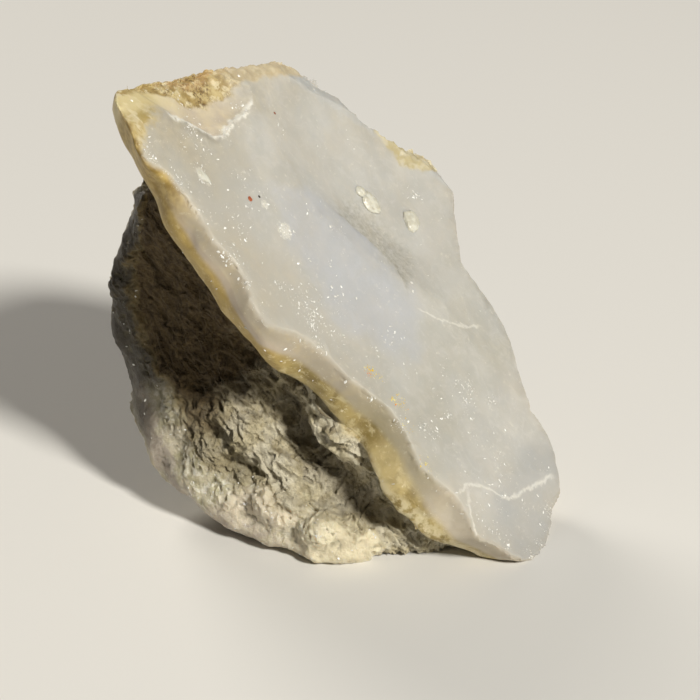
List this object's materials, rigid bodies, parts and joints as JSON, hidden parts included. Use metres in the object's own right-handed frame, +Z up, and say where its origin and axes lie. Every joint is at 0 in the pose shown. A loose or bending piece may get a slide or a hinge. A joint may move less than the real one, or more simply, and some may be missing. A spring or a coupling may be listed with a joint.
{
  "type": "mineral specimen",
  "caption": "Broken chalcedony nodule with a pale blue-grey conchoidal face, a banded edge and brown host rock, standing on a small flat spot.",
  "frame": {"origin": "middle of the box round the stone, on the ground it stands on", "axes": "+Z up, -Y towards the viewer of the broken edge, the pale face looks out towards +X, up and -Y"},
  "size_m": [0.0592, 0.0486, 0.0593],
  "materials": {
    "stone": "matte to waxy broken chalcedony with a rough brown host rock side"
  },
  "bodies": {
    "root": {"blue_lace_agate": "stone"}
  },
  "joints": []
}
